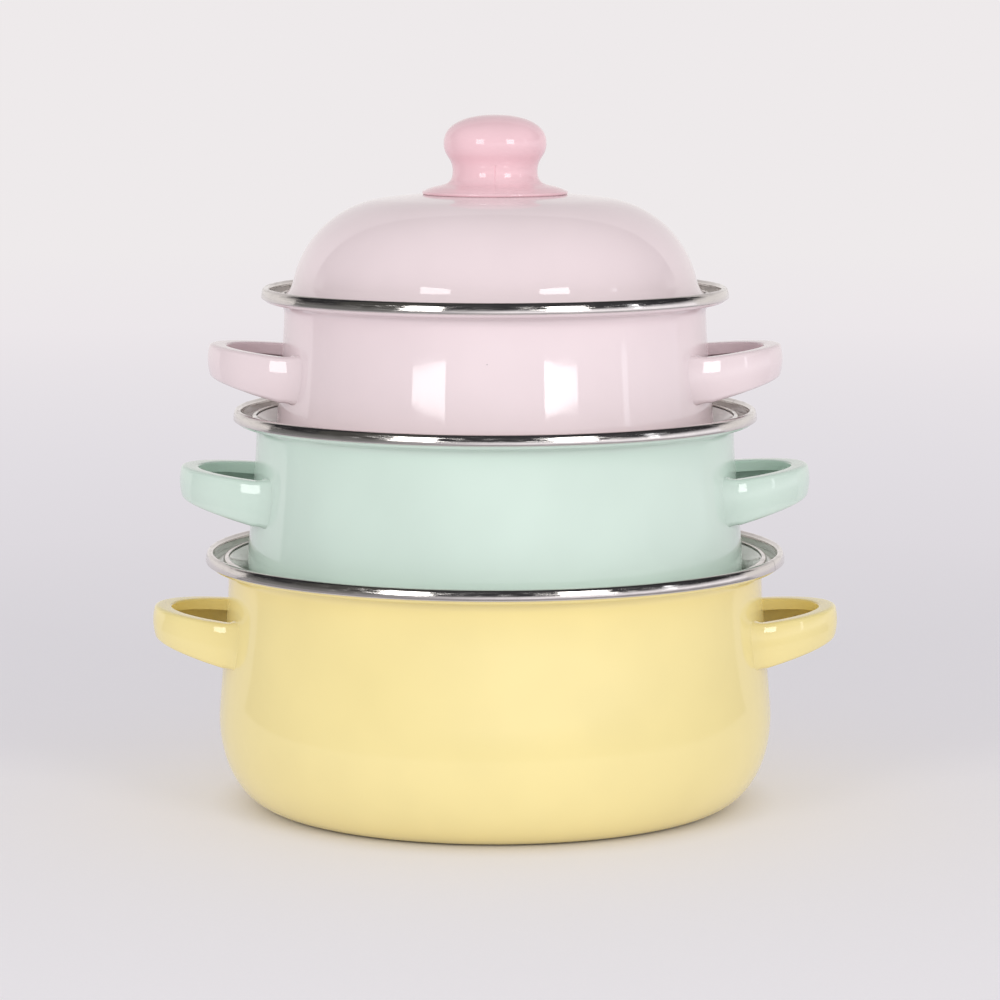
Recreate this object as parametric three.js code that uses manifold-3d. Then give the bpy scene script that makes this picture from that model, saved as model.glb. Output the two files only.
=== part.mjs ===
// A nested set of three enamelled steel pots. The two larger pots hold their own lids upside down, and
// the next pot stands in that hollow. The smallest pot on top wears its lid the right way up.
// Millimetres, +Z up, origin at the middle of the largest pot's base, handles along X.
import * as THREE from "three";
import { mergeVertices } from "three/addons/utils/BufferGeometryUtils.js";
import Module from "manifold-3d";

const wasm = await Module();
wasm.setup();

// Yellow pot, the largest
const YELLOW_NECK_RADIUS = 93.2;
const YELLOW_BELLY_RADIUS = 96.8;
const YELLOW_BELLY_HEIGHT = 30;
const YELLOW_BASE_RADIUS = 78;
const YELLOW_HEIGHT = 88.6;
const YELLOW_TURN = 0; // degrees, handles from the X axis
const YELLOW_LID_HEIGHT = 39.3;
const YELLOW_LID_SHOULDER = 36;
const YELLOW_LID_CROWN = 330;

// Mint pot, the middle one
const MINT_NECK_RADIUS = 83.2;
const MINT_BELLY_RADIUS = 86.4;
const MINT_BELLY_HEIGHT = 27;
const MINT_BASE_RADIUS = 69;
const MINT_HEIGHT = 80;
const MINT_TURN = 1.5;
const MINT_LID_HEIGHT = 36.6;
const MINT_LID_SHOULDER = 34;
const MINT_LID_CROWN = 290;

// Pink pot, the smallest
const PINK_NECK_RADIUS = 73.2;
const PINK_BELLY_RADIUS = 76;
const PINK_BELLY_HEIGHT = 24;
const PINK_BASE_RADIUS = 60;
const PINK_HEIGHT = 71.5;
const PINK_TURN = 0;
const PINK_LID_HEIGHT = 36.3;
const PINK_LID_SHOULDER = 32;
const PINK_LID_CROWN = 252;

// Shared by all pots
const SHEET = 1.2; // enamelled steel
const GAP = 0.3; // air between pieces that touch
const BAND_SHEET = 0.5; // rim band over the lip
const BAND_HEIGHT = 4.4;
const BAND_INNER_LEG = 2.4;
const LEDGE_DROP = 5; // underside of the flared ledge below the rim
const FLARE_RADIUS = 5; // neck to ledge
const LEDGE_FLAT = 0.4; // flat stretch of the ledge
const LIP_BEVEL = 1.6; // ledge to upturned lip

// Handles, the same pressing on every pot
const HANDLE_REACH = 26.7; // tip beyond the neck
const HANDLE_HALF_SPAN = 33.5; // outside of a leg from the middle
const HANDLE_ROOT_INSET = 2.2; // middle of the loop's curve inside the neck
const HANDLE_DEPTH = 6.6; // of the channel, outside to inside
const HANDLE_SHEET = 1.2;
const HANDLE_LIP = 4.2; // turned-in edges of the channel
const HANDLE_TOP_DROP = 22.6; // below the rim at the neck
const HANDLE_TOP_TILT = 6; // degrees up towards the tip
const HANDLE_WIDTH = 16.4; // at the neck
const HANDLE_BOTTOM_TILT = 13.5;

// Lids
const LID_EDGE_OVERHANG = 1.6; // lid band's outside beyond the pot's neck
const LID_BAND_SHEET = 0.4;
const LID_BAND_DEPTH = 1.7;
const LID_FLARE_RADIUS = 2; // edge to dome
const LID_WALL_TILT = 19; // degrees from upright

// Knob, screw and washer
const KNOB_HEIGHT = 27.4;
const KNOB_HEAD_RADIUS = 17.7;
const KNOB_HEAD_HEIGHT = 17.6;
const KNOB_WAIST_RADIUS = 14.8;
const KNOB_WAIST_HEIGHT = 7.3;
const KNOB_FOOT_RADIUS = 25.2;
const KNOB_FOOT_EDGE = 1;
const KNOB_WALL = 3;
const KNOB_BOSS_RADIUS = 5;
const SCREW_RADIUS = 2;
const SCREW_REACH = 11; // into the knob
const SCREW_HEAD_RADIUS = 4;
const SCREW_HEAD_HEIGHT = 2.4;
const SCREW_SLOT_WIDTH = 1;
const SCREW_SLOT_DEPTH = 1.2;
const WASHER_RADIUS = 6;
const WASHER_THICKNESS = 1;

// Facets: nested round pieces share theirs, so that their gaps stay even
const ROUND_SIDES = 28;
const KNOB_SIDES = 20;
const SCREW_SIDES = 12;
const LOOP_STEPS = 5; // in a quarter of a handle's loop
const CURVE_TOLERANCE = 0.4; // how far a facet may leave a curved outline
const CURVE_SAMPLES = 16; // where a curve's turning is measured
const WELD_DISTANCE = 1e-4; // closer points are one
const CUT_MARGIN = 10; // how far a cutting block passes what it cuts

const SIZES = [
  {
    name: "yellow",
    neckRadius: YELLOW_NECK_RADIUS,
    bellyRadius: YELLOW_BELLY_RADIUS,
    bellyHeight: YELLOW_BELLY_HEIGHT,
    baseRadius: YELLOW_BASE_RADIUS,
    height: YELLOW_HEIGHT,
    turn: YELLOW_TURN,
    lidHeight: YELLOW_LID_HEIGHT,
    lidShoulder: YELLOW_LID_SHOULDER,
    lidCrown: YELLOW_LID_CROWN,
    enamel: 0xf0d98c,
    knob: 0xe3c266,
    lidUpsideDown: true,
  },
  {
    name: "mint",
    neckRadius: MINT_NECK_RADIUS,
    bellyRadius: MINT_BELLY_RADIUS,
    bellyHeight: MINT_BELLY_HEIGHT,
    baseRadius: MINT_BASE_RADIUS,
    height: MINT_HEIGHT,
    turn: MINT_TURN,
    lidHeight: MINT_LID_HEIGHT,
    lidShoulder: MINT_LID_SHOULDER,
    lidCrown: MINT_LID_CROWN,
    enamel: 0xd0e2d8,
    knob: 0xa9cdbb,
    lidUpsideDown: true,
  },
  {
    name: "pink",
    neckRadius: PINK_NECK_RADIUS,
    bellyRadius: PINK_BELLY_RADIUS,
    bellyHeight: PINK_BELLY_HEIGHT,
    baseRadius: PINK_BASE_RADIUS,
    height: PINK_HEIGHT,
    turn: PINK_TURN,
    lidHeight: PINK_LID_HEIGHT,
    lidShoulder: PINK_LID_SHOULDER,
    lidCrown: PINK_LID_CROWN,
    enamel: 0xf0d9de,
    knob: 0xe2bac2,
    lidUpsideDown: false,
  },
];

const steel = new THREE.MeshStandardMaterial({ color: 0xc8c8ca, roughness: 0.18, metalness: 1 });
const zinc = new THREE.MeshStandardMaterial({ color: 0xb4b6b8, roughness: 0.35, metalness: 1 });

// Solids

function toSolid(geometry) {
  const bare = geometry.clone();
  bare.deleteAttribute("normal");
  bare.deleteAttribute("uv");
  const merged = mergeVertices(bare, WELD_DISTANCE);
  const corners = [];
  for (let i = 0; i < merged.index.count; i += 3) {
    const [a, b, c] = [0, 1, 2].map((k) => merged.index.getX(i + k));
    // A facet that meets the axis has no width there
    if (a !== b && b !== c && c !== a) corners.push(a, b, c);
  }
  return new wasm.Manifold(
    new wasm.Mesh({
      numProp: 3,
      vertProperties: new Float32Array(merged.attributes.position.array),
      triVerts: new Uint32Array(corners),
    }),
  );
}

function toMesh(name, solid, material) {
  const { vertProperties, triVerts } = solid.getMesh();
  const geometry = new THREE.BufferGeometry();
  geometry.setAttribute("position", new THREE.BufferAttribute(vertProperties, 3));
  geometry.setIndex(new THREE.BufferAttribute(triVerts, 1));
  geometry.computeVertexNormals();
  const mesh = new THREE.Mesh(geometry, material);
  mesh.name = name;
  return mesh;
}

// Spins an outline of radius and height about Z, with its first corner at an angle from X
function turned(outline, sides, angle = 0) {
  const geometry = new THREE.LatheGeometry(outline, sides).rotateX(Math.PI / 2);
  return toSolid(geometry.rotateZ(angle));
}

function upright(shape, bottom, top) {
  const settings = { depth: top - bottom, bevelEnabled: false, curveSegments: LOOP_STEPS };
  return toSolid(new THREE.ExtrudeGeometry(shape, settings).translate(0, 0, bottom));
}

// Outlines

// As many straight steps as a curve needs to stay within the tolerance
function stepsAlong(curve) {
  if (curve.isLineCurve) return 1;
  let turn = 0;
  for (let i = 0; i < CURVE_SAMPLES; i += 1) {
    const next = curve.getTangent((i + 1) / CURVE_SAMPLES);
    turn += curve.getTangent(i / CURVE_SAMPLES).angleTo(next);
  }
  return Math.ceil(Math.sqrt((curve.getLength() * turn) / (8 * CURVE_TOLERANCE)));
}

function outlineOf(path) {
  const points = path.curves.flatMap((curve) => curve.getPoints(stepsAlong(curve)));
  return points.filter((p, i) => i === 0 || p.distanceTo(points[i - 1]) > WELD_DISTANCE);
}

// The same line moved to its left by a distance
function besideLine(points, distance) {
  const sides = points.slice(1).map((p, i) => {
    const along = p.clone().sub(points[i]).normalize();
    return new THREE.Vector2(-along.y, along.x);
  });
  return points.map((p, i) => {
    const before = sides[Math.max(i - 1, 0)];
    const after = sides[Math.min(i, sides.length - 1)];
    const middle = before.clone().add(after).normalize();
    return p.clone().addScaledVector(middle, distance / middle.dot(after));
  });
}

// A sheet of one thickness: the line, and back along its left
function sheetOutline(points, thickness) {
  return [...points, ...besideLine(points, thickness).reverse()];
}

function closed(outline) {
  return [...outline, outline[0].clone()];
}

function flipped(outline) {
  return outline.map((p) => new THREE.Vector2(p.x, -p.y));
}

function raised(outline, height) {
  return outline.map((p) => new THREE.Vector2(p.x, p.y + height));
}

// Pot pieces

function lipRadius(size) {
  return size.neckRadius + FLARE_RADIUS + LEDGE_FLAT + LIP_BEVEL;
}

function bodyOutline(size) {
  const ledge = size.height - LEDGE_DROP;
  const neckTop = ledge - FLARE_RADIUS;
  const lip = lipRadius(size);
  const cornerWidth = size.bellyRadius - size.baseRadius;
  const rise = neckTop - size.bellyHeight;
  const path = new THREE.Path();
  path.moveTo(0, 0);
  path.lineTo(size.baseRadius, 0);
  path.absellipse(
    size.baseRadius, size.bellyHeight, cornerWidth, size.bellyHeight, -Math.PI / 2, 0,
  );
  path.bezierCurveTo(
    size.bellyRadius, size.bellyHeight + rise / 3,
    size.neckRadius, neckTop - rise / 3,
    size.neckRadius, neckTop,
  );
  path.absarc(size.neckRadius + FLARE_RADIUS, neckTop, FLARE_RADIUS, Math.PI, Math.PI / 2, true);
  path.lineTo(lip - LIP_BEVEL, ledge);
  path.lineTo(lip, ledge + LIP_BEVEL);
  path.lineTo(lip, size.height - BAND_SHEET - GAP);
  return sheetOutline(outlineOf(path), SHEET);
}

function rimBandOutline(size) {
  const outside = lipRadius(size) + GAP + BAND_SHEET;
  const inside = lipRadius(size) - SHEET - GAP - BAND_SHEET;
  // Beveled top edges that keep the same gap at the lip's corners as at its faces
  const bevel = (2 - Math.SQRT2) * (BAND_SHEET + GAP);
  const path = new THREE.Path();
  path.moveTo(outside, size.height - BAND_HEIGHT);
  path.lineTo(outside, size.height - bevel);
  path.lineTo(outside - bevel, size.height);
  path.lineTo(inside + bevel, size.height);
  path.lineTo(inside, size.height - bevel);
  path.lineTo(inside, size.height - BAND_INNER_LEG);
  return closed(sheetOutline(outlineOf(path), BAND_SHEET));
}

// The handle's loop seen from above, grown outwards from its inside edge
function handlePlan(size, growth) {
  const middle = size.neckRadius - HANDLE_ROOT_INSET;
  const reach = HANDLE_REACH + HANDLE_ROOT_INSET - HANDLE_DEPTH + growth;
  const halfSpan = HANDLE_HALF_SPAN - HANDLE_DEPTH + growth;
  const shape = new THREE.Shape();
  shape.moveTo(0, -halfSpan);
  shape.lineTo(middle, -halfSpan);
  shape.absellipse(middle, 0, reach, halfSpan, -Math.PI / 2, Math.PI / 2);
  shape.lineTo(0, halfSpan);
  return shape;
}

// Everything between the handle's top and bottom faces, drawn in by a margin
function handleSlice(size, margin) {
  const top = size.height - HANDLE_TOP_DROP - margin;
  const bottom = size.height - HANDLE_TOP_DROP - HANDLE_WIDTH + margin;
  const run = HANDLE_REACH + CUT_MARGIN;
  const far = size.neckRadius + run;
  const topSlope = Math.tan(THREE.MathUtils.degToRad(HANDLE_TOP_TILT));
  const bottomSlope = Math.tan(THREE.MathUtils.degToRad(HANDLE_BOTTOM_TILT));
  const shape = new THREE.Shape([
    new THREE.Vector2(0, bottom - size.neckRadius * bottomSlope),
    new THREE.Vector2(far, bottom + run * bottomSlope),
    new THREE.Vector2(far, top + run * topSlope),
    new THREE.Vector2(0, top - size.neckRadius * topSlope),
  ]);
  const width = 2 * (HANDLE_HALF_SPAN + CUT_MARGIN);
  const settings = { depth: width, bevelEnabled: false };
  const block = new THREE.ExtrudeGeometry(shape, settings).translate(0, 0, -width / 2);
  return toSolid(block.rotateX(Math.PI / 2));
}

function handleLoop(size, inner, outer, margin) {
  const loop = upright(handlePlan(size, outer), 0, size.height);
  const hole = upright(handlePlan(size, inner), -CUT_MARGIN, size.height + CUT_MARGIN);
  return loop.subtract(hole).intersect(handleSlice(size, margin));
}

// A channel with turned-in edges, open towards the pot and cut to its wall. The handle is made
// along X, so the wall that cuts it is turned back by the handle's angle.
function handleSolid(size, angle) {
  const channel = handleLoop(size, HANDLE_SHEET, HANDLE_DEPTH - HANDLE_SHEET, HANDLE_SHEET);
  const slot = handleLoop(size, -HANDLE_SHEET, 2 * HANDLE_SHEET, HANDLE_LIP);
  const strap = handleLoop(size, 0, HANDLE_DEPTH, 0).subtract(channel).subtract(slot);
  const wall = turned([new THREE.Vector2(0, 0), ...grownWall(size)], ROUND_SIDES, -angle);
  return strap.subtract(wall);
}

// The pot's outside with the gap added, closed to the axis at the ledge
function grownWall(size) {
  const body = bodyOutline(size);
  const outside = besideLine(body.slice(0, body.length / 2), -GAP).slice(1);
  return [...outside, new THREE.Vector2(0, outside.at(-1).y)];
}

// Lid pieces, measured from the middle of the lid's edge

function crownHeight(size, radius) {
  return size.lidHeight - size.lidCrown + Math.sqrt(size.lidCrown ** 2 - radius ** 2);
}

function lidShellOutline(size) {
  const tilt = THREE.MathUtils.degToRad(LID_WALL_TILT);
  const top = SHEET / 2;
  const edge = size.neckRadius + LID_EDGE_OVERHANG - LID_BAND_SHEET - GAP;
  const inward = new THREE.Vector2(-Math.cos(tilt), -Math.sin(tilt));
  const up = new THREE.Vector2(-Math.sin(tilt), Math.cos(tilt));
  // The flare leaves the edge where the band ends, and meets the dome's wall
  const flareStart = size.neckRadius + LID_EDGE_OVERHANG - LID_BAND_DEPTH;
  const flareRun = LID_FLARE_RADIUS * Math.tan((Math.PI / 2 - tilt) / 2);
  const wallFoot = new THREE.Vector2(flareStart - flareRun, top);
  // The shoulder's middle lies one shoulder radius inside both the wall and the crown
  const start = wallFoot.clone().addScaledVector(inward, size.lidShoulder);
  const crownMiddle = new THREE.Vector2(0, size.lidHeight - size.lidCrown);
  const back = start.clone().sub(crownMiddle);
  const reach = size.lidCrown - size.lidShoulder;
  const half = back.dot(up);
  const climb = -half + Math.sqrt(half ** 2 - back.lengthSq() + reach ** 2);
  const shoulder = start.clone().addScaledVector(up, climb);
  const shoulderTop = shoulder.clone().sub(crownMiddle).angle();
  const hole = SCREW_RADIUS + GAP;
  const path = new THREE.Path();
  path.moveTo(edge, top);
  path.lineTo(flareStart, top);
  path.absarc(
    flareStart, top + LID_FLARE_RADIUS, LID_FLARE_RADIUS, -Math.PI / 2, tilt - Math.PI, true,
  );
  path.absarc(shoulder.x, shoulder.y, size.lidShoulder, tilt, shoulderTop);
  path.absarc(0, crownMiddle.y, size.lidCrown, shoulderTop, Math.acos(hole / size.lidCrown));
  return closed(sheetOutline(outlineOf(path), SHEET));
}

function lidBandOutline(size) {
  const outside = size.neckRadius + LID_EDGE_OVERHANG;
  const half = SHEET / 2 + GAP + LID_BAND_SHEET;
  const path = new THREE.Path();
  path.moveTo(outside - LID_BAND_DEPTH, -half);
  path.lineTo(outside, -half);
  path.lineTo(outside, half);
  path.lineTo(outside - LID_BAND_DEPTH, half);
  return closed(sheetOutline(outlineOf(path), LID_BAND_SHEET));
}

function knobOutline(size) {
  const foot = crownHeight(size, KNOB_FOOT_RADIUS) + GAP;
  const under = (radius) => crownHeight(size, radius) + GAP;
  const bore = SCREW_RADIUS + GAP;
  const boreTop = under(bore) + SCREW_REACH + GAP;
  const core = KNOB_WAIST_RADIUS - KNOB_WALL;
  const flare = KNOB_FOOT_RADIUS - KNOB_WAIST_RADIUS;
  const waist = foot + KNOB_WAIST_HEIGHT;
  const head = foot + KNOB_HEAD_HEIGHT;
  const swell = (head - waist) / 2;
  const path = new THREE.Path();
  path.moveTo(0, boreTop);
  path.lineTo(bore, boreTop);
  path.lineTo(bore, under(bore));
  path.lineTo(KNOB_BOSS_RADIUS, under(KNOB_BOSS_RADIUS));
  path.lineTo(KNOB_BOSS_RADIUS, head);
  path.lineTo(core, head);
  path.lineTo(core, under(core));
  path.lineTo(KNOB_FOOT_RADIUS, foot);
  path.lineTo(KNOB_FOOT_RADIUS, foot + KNOB_FOOT_EDGE);
  path.absellipse(
    KNOB_FOOT_RADIUS, waist, flare, KNOB_WAIST_HEIGHT - KNOB_FOOT_EDGE, -Math.PI / 2, -Math.PI, true,
  );
  path.bezierCurveTo(
    KNOB_WAIST_RADIUS, waist + swell,
    KNOB_HEAD_RADIUS, head - swell,
    KNOB_HEAD_RADIUS, head,
  );
  path.absellipse(0, head, KNOB_HEAD_RADIUS, KNOB_HEIGHT - KNOB_HEAD_HEIGHT, 0, Math.PI / 2);
  return outlineOf(path);
}

function washerTop(size) {
  return crownHeight(size, WASHER_RADIUS) - SHEET - GAP;
}

function washerOutline(size) {
  const top = washerTop(size);
  const path = new THREE.Path();
  path.moveTo(SCREW_RADIUS + GAP, top - WASHER_THICKNESS);
  path.lineTo(WASHER_RADIUS, top - WASHER_THICKNESS);
  path.lineTo(WASHER_RADIUS, top);
  path.lineTo(SCREW_RADIUS + GAP, top);
  return closed(outlineOf(path));
}

function screwOutline(size) {
  const headTop = washerTop(size) - WASHER_THICKNESS - GAP;
  const headBottom = headTop - SCREW_HEAD_HEIGHT;
  const path = new THREE.Path();
  path.moveTo(0, headBottom);
  path.lineTo(SCREW_HEAD_RADIUS - SCREW_HEAD_HEIGHT / 2, headBottom);
  path.absellipse(
    SCREW_HEAD_RADIUS - SCREW_HEAD_HEIGHT / 2, headTop, SCREW_HEAD_HEIGHT / 2, SCREW_HEAD_HEIGHT,
    -Math.PI / 2, 0,
  );
  path.lineTo(SCREW_RADIUS, headTop);
  path.lineTo(SCREW_RADIUS, crownHeight(size, SCREW_RADIUS) + GAP + SCREW_REACH);
  path.lineTo(0, crownHeight(size, SCREW_RADIUS) + GAP + SCREW_REACH);
  return outlineOf(path);
}

function screwSolid(size) {
  const outline = screwOutline(size);
  const headBottom = outline[0].y;
  const slot = new THREE.BoxGeometry(
    2 * (SCREW_HEAD_RADIUS + CUT_MARGIN), SCREW_SLOT_WIDTH, 2 * SCREW_SLOT_DEPTH,
  );
  return turned(outline, SCREW_SIDES).subtract(toSolid(slot.translate(0, 0, headBottom)));
}

// Nesting

// Lowest or highest height of some outlines at a radius
function heightAt(outlines, radius, pick) {
  const heights = [];
  for (const outline of outlines) {
    for (let i = 1; i < outline.length; i += 1) {
      const [a, b] = [outline[i - 1], outline[i]];
      if (radius < Math.min(a.x, b.x) || radius > Math.max(a.x, b.x)) continue;
      const share = THREE.MathUtils.inverseLerp(a.x, b.x, radius);
      heights.push(THREE.MathUtils.lerp(a.y, b.y, share));
      if (a.x === b.x) heights.push(b.y);
    }
  }
  return heights.length ? pick(...heights) : undefined;
}

// How high a piece rests on what is already stacked
function restHeight(piece, stack) {
  const radii = [...piece, ...stack].flat().map((p) => p.x);
  const lifts = radii.map((radius) => {
    const underside = heightAt(piece, radius, Math.min);
    const support = heightAt(stack, radius, Math.max);
    return underside === undefined || support === undefined ? -Infinity : support - underside;
  });
  return Math.max(...lifts) + GAP;
}

// Space that the handles take up beside the pot
function handleOutline(size) {
  const rise = Math.tan(THREE.MathUtils.degToRad(HANDLE_TOP_TILT)) * HANDLE_REACH;
  const bottom = size.height - HANDLE_TOP_DROP - HANDLE_WIDTH;
  const top = size.height - HANDLE_TOP_DROP + rise;
  const tip = size.neckRadius + HANDLE_REACH;
  return [
    new THREE.Vector2(size.neckRadius, bottom),
    new THREE.Vector2(tip, bottom),
    new THREE.Vector2(tip, top),
    new THREE.Vector2(size.neckRadius, top),
  ];
}

function enamelOf(size) {
  return new THREE.MeshStandardMaterial({ color: size.enamel, roughness: 0.15, metalness: 0 });
}

function makePot(size) {
  const group = new THREE.Group();
  const body = bodyOutline(size);
  const band = rimBandOutline(size);
  group.add(toMesh(`${size.name}_pot_body`, turned(body, ROUND_SIDES), enamelOf(size)));
  group.add(toMesh(`${size.name}_rim_band`, turned(band, ROUND_SIDES), steel));
  for (const [side, halfTurn] of [["left", Math.PI], ["right", 0]]) {
    const angle = THREE.MathUtils.degToRad(size.turn) + halfTurn;
    const handle = toMesh(`${size.name}_handle_${side}`, handleSolid(size, angle), enamelOf(size));
    handle.rotation.z = angle;
    group.add(handle);
  }
  return { group, outlines: [body, band, handleOutline(size)] };
}

function makeLid(size) {
  const group = new THREE.Group();
  const shell = lidShellOutline(size);
  const band = lidBandOutline(size);
  const knob = knobOutline(size);
  const plastic = new THREE.MeshStandardMaterial({ color: size.knob, roughness: 0.25, metalness: 0 });
  group.add(toMesh(`${size.name}_lid_shell`, turned(shell, ROUND_SIDES), enamelOf(size)));
  group.add(toMesh(`${size.name}_lid_band`, turned(band, ROUND_SIDES), steel));
  group.add(toMesh(`${size.name}_knob`, turned(knob, KNOB_SIDES), plastic));
  group.add(toMesh(`${size.name}_knob_screw`, screwSolid(size), zinc));
  group.add(toMesh(`${size.name}_knob_washer`, turned(washerOutline(size), KNOB_SIDES), zinc));
  const outlines = [shell, band, knob, screwOutline(size)];
  if (!size.lidUpsideDown) return { group, outlines };
  group.rotation.x = Math.PI;
  return { group, outlines: outlines.map(flipped) };
}

const potSet = new THREE.Group();
const stack = [];
for (const size of SIZES) {
  for (const piece of [makePot(size), makeLid(size)]) {
    const height = stack.length ? restHeight(piece.outlines, stack) : 0;
    piece.group.position.z = height;
    stack.push(...piece.outlines.map((outline) => raised(outline, height)));
    potSet.add(piece.group);
  }
}

export default potSet;
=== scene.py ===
"""A nested set of three enamelled steel pots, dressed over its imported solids.

The yellow pot holds its own lid upside down and the mint pot stands in that hollow. The mint lid lies
the same way under the pink pot, which wears its lid the right way up. Metres, +Z up, the front at -Y.
"""
import math

import bmesh
import bpy
from mathutils import Color, Matrix, Vector
from mathutils.geometry import interpolate_bezier


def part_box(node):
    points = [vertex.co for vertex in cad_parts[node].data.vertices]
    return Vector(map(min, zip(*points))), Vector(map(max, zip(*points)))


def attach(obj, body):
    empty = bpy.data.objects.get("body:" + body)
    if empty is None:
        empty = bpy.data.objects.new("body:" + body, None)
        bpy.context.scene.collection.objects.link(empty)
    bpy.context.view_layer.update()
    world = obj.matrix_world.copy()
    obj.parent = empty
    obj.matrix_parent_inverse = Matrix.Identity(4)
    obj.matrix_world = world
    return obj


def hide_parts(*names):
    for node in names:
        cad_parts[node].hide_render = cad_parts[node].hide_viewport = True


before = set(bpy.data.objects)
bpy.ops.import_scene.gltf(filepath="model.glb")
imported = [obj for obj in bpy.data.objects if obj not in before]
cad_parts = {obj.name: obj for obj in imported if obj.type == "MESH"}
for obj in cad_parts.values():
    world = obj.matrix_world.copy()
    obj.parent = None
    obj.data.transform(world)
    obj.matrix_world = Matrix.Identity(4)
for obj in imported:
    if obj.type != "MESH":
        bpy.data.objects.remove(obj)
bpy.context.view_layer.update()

MM = 0.001

# Sheet and rim, the same on every pot
SHEET = 1.2 * MM
GAP = 0.3 * MM
BELLY_PULL = 0.12  # how long the wall keeps the belly's line, as a share of its rise
NECK_PULL = 0.25
FLARE = 3.5 * MM  # neck to ledge
LEDGE_DROP = 5 * MM  # underside of the ledge below the rim
LIP_ROUND = 1.6 * MM  # ledge to upturned lip
LIP_REACH = 7 * MM  # lip outside the neck
LIP_DROP = 0.8 * MM  # top of the lip below the band
LIP_LEAN = 0.25 * MM  # lip's end inside its foot
BAND_SHEET = 0.4 * MM
BAND_STAND = 0.8 * MM  # band's outside beyond the lip
BAND_HEIGHT = 3.8 * MM
BAND_INNER_LEG = 1.6 * MM
BAND_FACE = 7.5 * MM  # radius of the bulged outer face
BAND_FACE_LOW, BAND_FACE_HIGH = -2, 19  # degrees, its lower and upper end
BAND_EDGE = 0.3 * MM  # rounded lower edge
BAND_EDGE_START = -80  # degrees, where that edge begins
BAND_JOINT = 0.25 * MM  # between the band's two ends

# Handles, one pressing for all pots
HANDLE_REACH = 26.7 * MM  # tip beyond the neck
HANDLE_HALF_SPAN = 33.5 * MM  # of the oval loop, at its middle
HANDLE_INSET = 10.5 * MM  # the oval's middle inside the neck
HANDLE_DEPTH = 6.6 * MM
HANDLE_LIP = 4.2 * MM  # turned-in edges
HANDLE_LIP_LINE = 0.6  # share of a lip's width, from the handle's edge to a line that keeps the lip flat
HANDLE_CORNER = 0.8 * MM
HANDLE_FACE = 33 * MM  # radius of the outside, from edge to edge
HANDLE_EDGE = 1.8 * MM  # its rounded edges
LOOP_START = math.radians(18)  # where the bent loop ends and its straight legs begin
HANDLE_TOP_DROP = 22.2 * MM  # below the rim at the neck
HANDLE_TOP_TILT = math.radians(6)
HANDLE_WIDTH = 15.6 * MM  # at the neck
HANDLE_BOTTOM_TILT = math.radians(14.5)
LOOP_HALF_SPAN = HANDLE_HALF_SPAN - HANDLE_DEPTH  # inside the channel
LOOP_HALF_LENGTH = HANDLE_REACH + HANDLE_INSET - HANDLE_DEPTH
LEG_SPREAD = math.tan(LOOP_START) * LOOP_HALF_SPAN / LOOP_HALF_LENGTH  # sideways, as a share of the run
WELD_DEPTH = 0.5 * MM  # handle ends inside the pot's wall
WELD_FILLET = 1.5 * MM
FILLET_START = 0.2  # share of a leg that doesn't swell towards its weld

# Lids
LID_OVERHANG = 1.6 * MM  # lid band beyond the pot's neck
LID_BAND_SHEET = 0.4 * MM
LID_BAND_DEPTH = 1.7 * MM
LID_BAND_HALF = 1.3 * MM
LID_BAND_ROUND = 0.9 * MM
LID_FLARE = (3.2 * MM, 5.4 * MM)  # width and height, edge to wall
LID_FLARE_PULL = (1.7 * MM, 1.5 * MM)
LID_WALL_PULL = 2.2 * MM
LID_WALL_TILT = math.radians(12.5)

# Knob, screw and washer, with round sizes as radii
KNOB_HEIGHT = 27.4 * MM
KNOB_HEAD = 17.8 * MM
KNOB_HEAD_HEIGHT = 17.6 * MM
KNOB_HEAD_FULLNESS = 2.25  # 2 is a plain ellipse
KNOB_WAIST = 14.7 * MM
KNOB_WAIST_HEIGHT = 8 * MM
KNOB_FOOT = 25.2 * MM
KNOB_FOOT_EDGE = 1.2 * MM
KNOB_FOOT_PULL = (5 * MM, 2.8 * MM)  # slope of the flange, in and up from its edge
KNOB_WAIST_PULL = 6.0 * MM
KNOB_EDGE_ROUND = 0.55 * MM
KNOB_EDGE_END = 70  # degrees, where that round meets the flange's slope
KNOB_SEAT = 0.05 * MM  # air under the flange
KNOB_WALL = 3 * MM
KNOB_BOSS = 5 * MM
KNOB_SEAM = 0.2 * MM  # half width of the mould line
KNOB_SEAM_DEPTH = 0.2 * MM
KNOB_SEAM_RISE = 2.5 * MM  # above the waist
SCREW = 2 * MM
SCREW_REACH = 11 * MM
SCREW_HEAD = 4 * MM
SCREW_HEAD_HEIGHT = 2.4 * MM
SCREW_SLOT = 1 * MM
SCREW_SLOT_DEPTH = 1.2 * MM
WASHER = 6 * MM
WASHER_THICKNESS = 1 * MM
WASHER_ROUND = 0.2 * MM

# Fineness
ROUND_STEPS = 160
KNOB_STEPS = 96
SCREW_STEPS = 48
LOOP_STEPS = 48
LEG_STEPS = 5
LEG_PASSES = 4  # to find where a spreading leg meets the wall
ARC_STEPS = 14
CURVE_STEPS = 28
CORNER_STEPS = 6
SMALL_STEPS = 4
BAND_FACE_STEPS = 10
HANDLE_EDGE_STEPS = 8
HANDLE_FACE_STEPS = 6
WELD = 0.002 * MM
SHARP = math.radians(42)


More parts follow.
